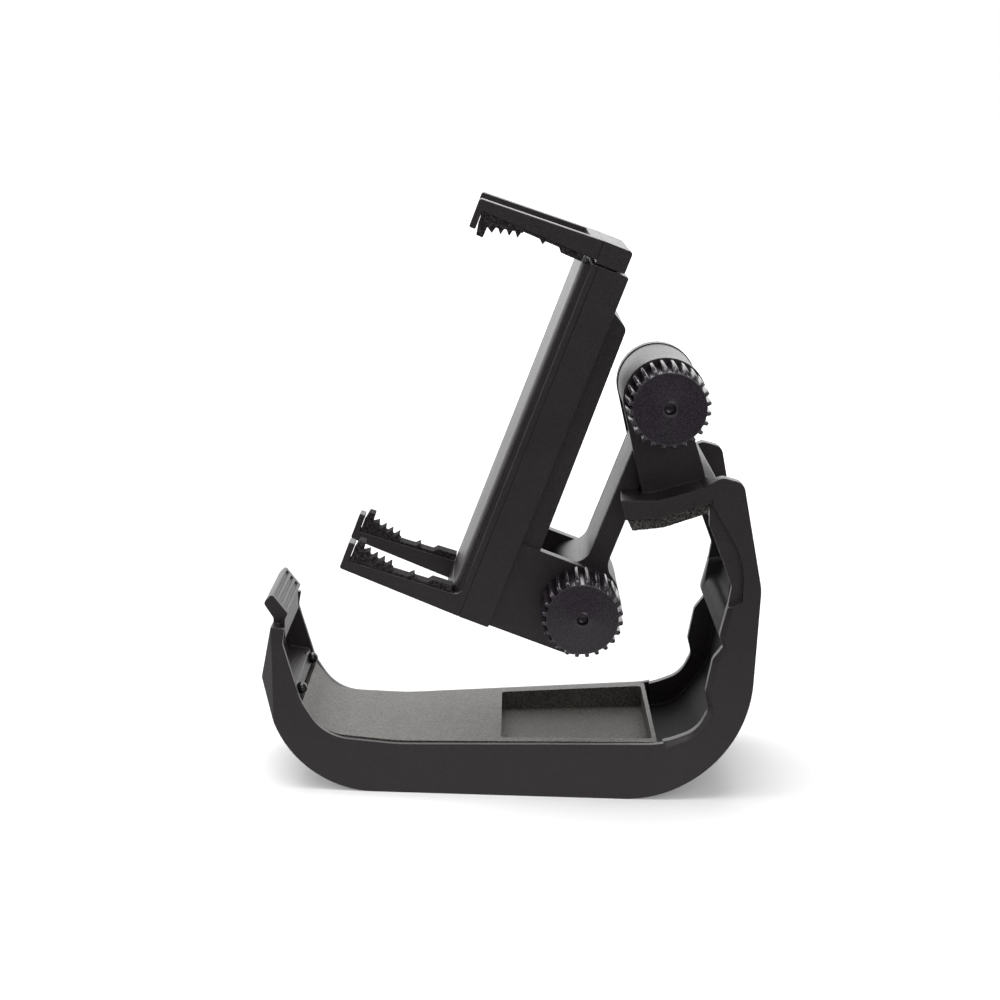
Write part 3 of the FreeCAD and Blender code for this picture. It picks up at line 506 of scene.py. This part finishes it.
def makeFoam():  # torn cells over a softly rounded strip
    look = foamShape
    mesh = applied(mergedCopy("ledge_pad"), ("REMESH", {"mode": "VOXEL", "voxel_size": look["voxel"]}),
                   ("SMOOTH", {"factor": 0.5, "iterations": look["smooth"]}))
    mesh.update()
    normals = [vertex.normal.copy() for vertex in mesh.vertices]
    for vertex, normal in zip(mesh.vertices, normals):
        cells = noise.cell(vertex.co * look["cell"])
        fine = noise.noise(vertex.co * look["fine"])
        depth = look["even"] + look["cellShare"] * cells + look["fineShare"] * fine
        vertex.co -= normal * look["pit"] * depth
    shade(mesh, 180.0)
    foam = piece("foamStrip", mesh, bodyOf["ledge_pad"], "foam", "ledge_pad")


stopShape = {"reach": 0.0016, "domeRadius": 0.0011, "lean": 12.8,
             "steps": 4, "turns": 12, "sharp": 35.0, "rows": [
    (0.0, 0, 0), (0.02, 0.22, 0.22), (0.1, 0.48, 0.48), (0.24, 0.72, 0.72), (0.48, 0.94, 0.94),
    (0.8, 1.08, 1.08), (1.12, 1.12, 1.12), (1.44, 1.08, 1.08), (1.72, 0.96, 0.96), (1.8, 1.3, 1.3),
    (1.95, 1.36, 1.36), (2.3, 1.36, 1.36), (2.3, 0, 0)]}


def makeStops():  # two glossy domes in collars at the hook's foot
    look = stopShape
    recipe = turnedRecipe("domedStop", look["rows"], finishes["bumper_plastic"], look["steps"], look["turns"])
    low, high = (Vector(corner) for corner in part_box("hook_bumpers"))
    dome = look["domeRadius"]
    lean = math.radians(look["lean"])
    facing = Vector((math.cos(lean), 0, math.sin(lean)))
    both = bmesh.new()
    for y in (low.y + dome, high.y - dome):
        mesh = recipe.mesh()
        spot = Vector((high.x - dome, y, high.z - dome)) + facing * look["reach"]
        mesh.transform(Matrix.Translation(spot) @ facing.to_track_quat("-Y", "Z").to_matrix().to_4x4())
        both.from_mesh(mesh)
    mesh = bpy.data.meshes.new("stops")
    both.to_mesh(mesh)
    both.free()
    mesh.materials.append(finishes["bumper_plastic"])
    faceOut(mesh)
    shade(mesh, look["sharp"])
    piece("hookStops", mesh, bodyOf["hook_bumpers"], "bumper_plastic", "hook_bumpers")


screwShape = {"Head Radius": 1.6, "Head Height": 1.0, "Shank Radius": 0.8, "Slot Width": 0.42,
              "Slot Length": 1.7, "Slot Depth": 0.62, "Length": 7.0}
screwFit = {"seat": 0.0005, "shorter": 0.0006, "rimDepth": 0.00001, "sharp": 30.0}


def screwRecipe():  # meant as pan heads with a cross recess, but the cut loses the heads
    f = Recipe("crossScrews", {key: value / 1000 for key, value in screwShape.items()}, True)
    size = f.size
    head = f.add("GeometryNodeMeshCylinder", {}, {"Vertices": 48, "Radius": size("Head Radius"),
                                                  "Depth": size("Head Height")})
    crown = f.add("GeometryNodeMeshCone", {}, {"Vertices": 48, "Radius Top": size("Head Radius") * 0.78,
                                               "Radius Bottom": size("Head Radius"),
                                               "Depth": size("Head Height") * 0.3})
    head = f.add("GeometryNodeTransform", {}, {"Geometry": head, "Scale": (1.0, 1.0, 0.7)})
    crown = f.add("GeometryNodeTransform", {}, {"Geometry": crown, "Translation": f.add(
        "ShaderNodeCombineXYZ", {}, [0.0, 0.0, size("Head Height") * 0.35])})
    slots = []
    for wide, deep in ((size("Slot Length"), size("Slot Width")), (size("Slot Width"), size("Slot Length"))):
        extent = f.add("ShaderNodeCombineXYZ", {}, [wide, deep, size("Slot Depth") * 2.0])
        slots.append(f.add("GeometryNodeMeshCube", {}, {"Size": extent}))
    recess = f.add("GeometryNodeTransform", {}, {"Geometry": f.join(*slots), "Translation": f.add(
        "ShaderNodeCombineXYZ", {}, [0.0, 0.0, size("Head Height") * 0.65])})
    cut = f.tree.nodes.new("GeometryNodeMeshBoolean")
    cut.operation = "DIFFERENCE"
    f.put(cut.inputs["Mesh 1"], f.join(head, crown))
    f.put(cut.inputs["Mesh 2"], recess)
    shank = f.add("GeometryNodeMeshCylinder", {}, {"Vertices": 24, "Radius": size("Shank Radius"),
                                                   "Depth": size("Length")})
    shank = f.add("GeometryNodeTransform", {}, {"Geometry": shank, "Translation": f.add(
        "ShaderNodeCombineXYZ", {}, [0.0, 0.0, size("Length") * -0.5])})
    facing = f.add("FunctionNodeAlignRotationToVector", {"axis": "Z"}, {"Vector": tuple(-across)})
    screws = f.add("GeometryNodeInstanceOnPoints", {}, {"Points": f.size("Points"),
                                                        "Instance": f.join(Value(f, cut.outputs[0]), shank),
                                                        "Rotation": facing})
    f.done(screws, finishes["steel"])
    return f


def makeScrews():  # the holder's back screws, each set as one mesh
    recipe = screwRecipe()
    for node, name in (("shell_screws", "shellScrewSet"), ("jaw_screws", "jawScrewSet")):
        heads = headMiddles(node)
        mesh = recipe.mesh({"Length": screwReach(node)}, heads)
        shade(mesh, screwFit["sharp"])
        piece(name, mesh, bodyOf[node], "steel", node)


def looseParts(node):  # the points of each separate solid in a node
    shape = bmesh.new()
    shape.from_mesh(nodes[node].data)
    bmesh.ops.remove_doubles(shape, verts=shape.verts, dist=weld)
    left = set(shape.verts)
    parts = []
    while left:
        heap = [left.pop()]
        part = []
        while heap:
            vertex = heap.pop()
            part.append(vertex.co.copy())
            for edge in vertex.link_edges:
                other = edge.other_vert(vertex)
                if other in left:
                    left.remove(other)
                    heap.append(other)
        parts.append(part)
    shape.free()
    return parts


def headMiddles(node):  # where each screw's head sits
    middles = []
    for part in looseParts(node):
        back = min(point.dot(across) for point in part)
        rim = [point for point in part if point.dot(across) < back + screwFit["rimDepth"]]
        centre = sum(rim, Vector()) / len(rim)
        middles.append(centre + across * screwFit["seat"])
    return sorted(middles, key=lambda spot: (round(spot.z, 5), spot.y))


def screwReach(node):  # how long the shanks are
    spans = []
    for part in looseParts(node):
        depths = [point.dot(across) for point in part]
        spans.append(max(depths) - min(depths))
    return min(spans) - screwFit["shorter"]


springShape = {"Coil Radius": 1.45, "Wire Radius": 0.21, "Turns": 15.0, "Length": 13.4, "Loop Radius": 1.3}


def springRecipe():  # close coil with a separate loop at each end, along Z
    f = Recipe("pullSpring", {key: value if key == "Turns" else value / 1000
                              for key, value in springShape.items()})
    size = f.size
    coil = f.add("GeometryNodeCurveSpiral", {}, {"Resolution": 20, "Rotations": size("Turns"),
                                                 "Start Radius": size("Coil Radius"),
                                                 "End Radius": size("Coil Radius"), "Height": size("Length")})
    loop = f.add("GeometryNodeCurvePrimitiveCircle", {"mode": "RADIUS"},
                 {"Resolution": 28, "Radius": size("Loop Radius")})
    ends = []
    for level in (size("Loop Radius") * -1.0, size("Length") + size("Loop Radius")):
        spot = f.add("ShaderNodeCombineXYZ", {}, [0.0, 0.0, level])
        ends.append(f.add("GeometryNodeTransform", {}, {"Geometry": loop, "Translation": spot,
                                                        "Rotation": (0.0, math.pi / 2, 0.0)}))
    wire = f.add("GeometryNodeCurvePrimitiveCircle", {"mode": "RADIUS"},
                 {"Resolution": 8, "Radius": size("Wire Radius")})
    tube = f.add("GeometryNodeCurveToMesh", {}, {"Curve": f.join(coil, *ends), "Profile Curve": wire,
                                                 "Fill Caps": True})
    f.done(tube, finishes["steel"])
    return f


def makeSprings():
    recipe = springRecipe()
    turn = Matrix((across.cross(along).cross(along), across.cross(along), along)).transposed().to_4x4()
    for side in ("near", "far"):
        node = "pull_spring_" + side
        mesh = recipe.mesh()
        start = middle(node) - along * springShape["Length"] / 2000
        mesh.transform(Matrix.Translation(start) @ turn)
        shade(mesh, 60.0)
        piece("pullSpring" + side.title(), mesh, bodyOf[node], "steel", node)


cheekShape = {"outer": 0.018, "inner": 0.0168,
              "corners": [(33.9, 57.25), (33.9, 55.75), (36.4, 56.6), (37.4, 56.7), (37.2, 57.25)]}


def makeCheeks():  # joins the ledge's ends to the arm above the recesses
    look = cheekShape
    shape = bmesh.new()
    for side in (-1, 1):
        rings = [[shape.verts.new((x / 1000, side * y, z / 1000)) for x, z in look["corners"]]
                 for y in (look["outer"], look["inner"])]
        shape.faces.new(rings[0])
        shape.faces.new(rings[1][::-1])
        for i in range(len(rings[0])):
            k = (i + 1) % len(rings[0])
            shape.faces.new((rings[0][k], rings[0][i], rings[1][i], rings[1][k]))
    mesh = bpy.data.meshes.new("cheeks")
    shape.to_mesh(mesh)
    shape.free()
    faceOut(mesh)
    mesh.materials.append(finishes["body_plastic"])
    piece("ledgeCheeks", mesh, "cradle", "body_plastic")


makeMouldings()
makeKnobs()
makeGrips()
makeFoam()
makeStops()
makeScrews()
makeSprings()
makeCheeks()
print("pieces made")


studio = {"floor": 4.0, "bounce": 0.8, "nearGlow": 0.15, "farGlow": 1.0, "nearReach": 0.12, "farReach": 0.60,
          "world": 0.5, "backGloss": 2.1, "frontGloss": 0.3, "floorBack": 1.0, "floorNear": 0.75,
          "floorFront": 0.15}


def floorWhite():  # white to the camera, keeps the shadow, dimmer to reflections towards the front
    f = Finish("floorWhite")
    place = f.place()
    far = f.add("ShaderNodeVectorMath", {"operation": "LENGTH"}, [place], "Value")
    depth = f.split(place)[1]
    path = f.tree.nodes.new("ShaderNodeLightPath")
    camera, glossy, clear = (Value(f, path.outputs[name])
                             for name in ("Is Camera Ray", "Is Glossy Ray", "Is Transmission Ray"))
    seen = far.range(studio["nearReach"], studio["farReach"], studio["nearGlow"], studio["farGlow"])
    front = depth.range(-0.26, -0.02, studio["floorFront"], studio["floorNear"])
    mirrored = front + depth.range(0.0, 0.12, 0.0, studio["floorBack"] - studio["floorNear"])
    plain = f.add("ShaderNodeBsdfDiffuse", {}, {"Color": (studio["bounce"],) * 3})
    dark = f.add("ShaderNodeBsdfDiffuse", {}, {"Color": (0.0, 0.0, 0.0)})
    bounced = f.add("ShaderNodeMixShader", {}, [(glossy + clear).clamped(), plain, dark])
    glow = f.add("ShaderNodeEmission", {}, {"Color": (1.0, 1.0, 1.0),
                                           "Strength": camera * seen + (glossy + clear).clamped() * mirrored})
    both = f.add("ShaderNodeAddShader", {}, [bounced, glow])
    f.add("ShaderNodeOutputMaterial", {}, {"Surface": both})
    return f.material


def makeFloor():
    half = studio["floor"]
    mesh = bpy.data.meshes.new("floor")
    corners = [(-half, -half, 0), (half, -half, 0), (half, half, 0), (-half, half, 0)]
    mesh.from_pydata(corners, [], [(0, 1, 2, 3)])
    floor = bpy.data.objects.new("floor", mesh)
    bpy.context.scene.collection.objects.link(floor)
    mesh.materials.append(floorWhite())


def makeWorld():  # white to the camera, brighter behind the object than in front for reflections
    world = bpy.data.worlds.new("studio")
    bpy.context.scene.world = world
    world.use_nodes = True
    f = Tree()
    f.tree = world.node_tree
    f.tree.nodes.clear()
    path = f.tree.nodes.new("ShaderNodeLightPath")
    camera, glossy, clear = (Value(f, path.outputs[name])
                             for name in ("Is Camera Ray", "Is Glossy Ray", "Is Transmission Ray"))
    depth = f.split(f.add("ShaderNodeTexCoord", {}, {}, "Generated"))[1]
    mirrored = depth.range(-0.5, 0.7, studio["frontGloss"], studio["backGloss"])
    bounced = (glossy + clear).clamped()
    strength = camera + bounced * mirrored + (1.0 - (camera + bounced).clamped()) * studio["world"]
    lit = f.add("ShaderNodeBackground", {}, {"Color": (1.0, 1.0, 1.0), "Strength": strength})
    f.add("ShaderNodeOutputWorld", {}, {"Surface": lit})


lamps = [
    {"name": "topSoftbox", "at": (-0.08, 0.04, 0.80), "size": 0.7, "power": 6.8},
    {"name": "leftSoftbox", "at": (-0.70, 0.10, 0.40), "size": 0.5, "power": 1.4},
    {"name": "frontFill", "at": (0.30, -0.80, 0.55), "size": 0.6, "power": 2.0},
]
lampAim = (0, 0, 0.05)


def makeLamps():
    for lamp in lamps:
        light = bpy.data.lights.new(lamp["name"], "AREA")
        light.size = lamp["size"]
        light.energy = lamp["power"]
        holder = bpy.data.objects.new(lamp["name"], light)
        holder.location = lamp["at"]
        aim = Vector(lampAim) - Vector(lamp["at"])
        holder.rotation_euler = aim.to_track_quat("-Z", "Y").to_euler()
        bpy.context.scene.collection.objects.link(holder)


view = {"at": (0.0016, -0.3142, 0.1260), "lens": 61.2, "down": 13.05, "left": 0.46}


def makeCamera():
    camera = bpy.data.cameras.new("camera")
    camera.sensor_fit = "AUTO"
    camera.sensor_width = 36.0
    camera.lens = view["lens"]
    camera.clip_start = 0.01
    holder = bpy.data.objects.new("camera", camera)
    holder.location = view["at"]
    holder.rotation_euler = (math.radians(90 - view["down"]), 0, math.radians(view["left"]))
    bpy.context.scene.collection.objects.link(holder)
    bpy.context.scene.camera = holder


makeFloor()
makeWorld()
makeLamps()
makeCamera()
bpy.context.scene.view_settings.view_transform = "Standard"
print("studio ready")
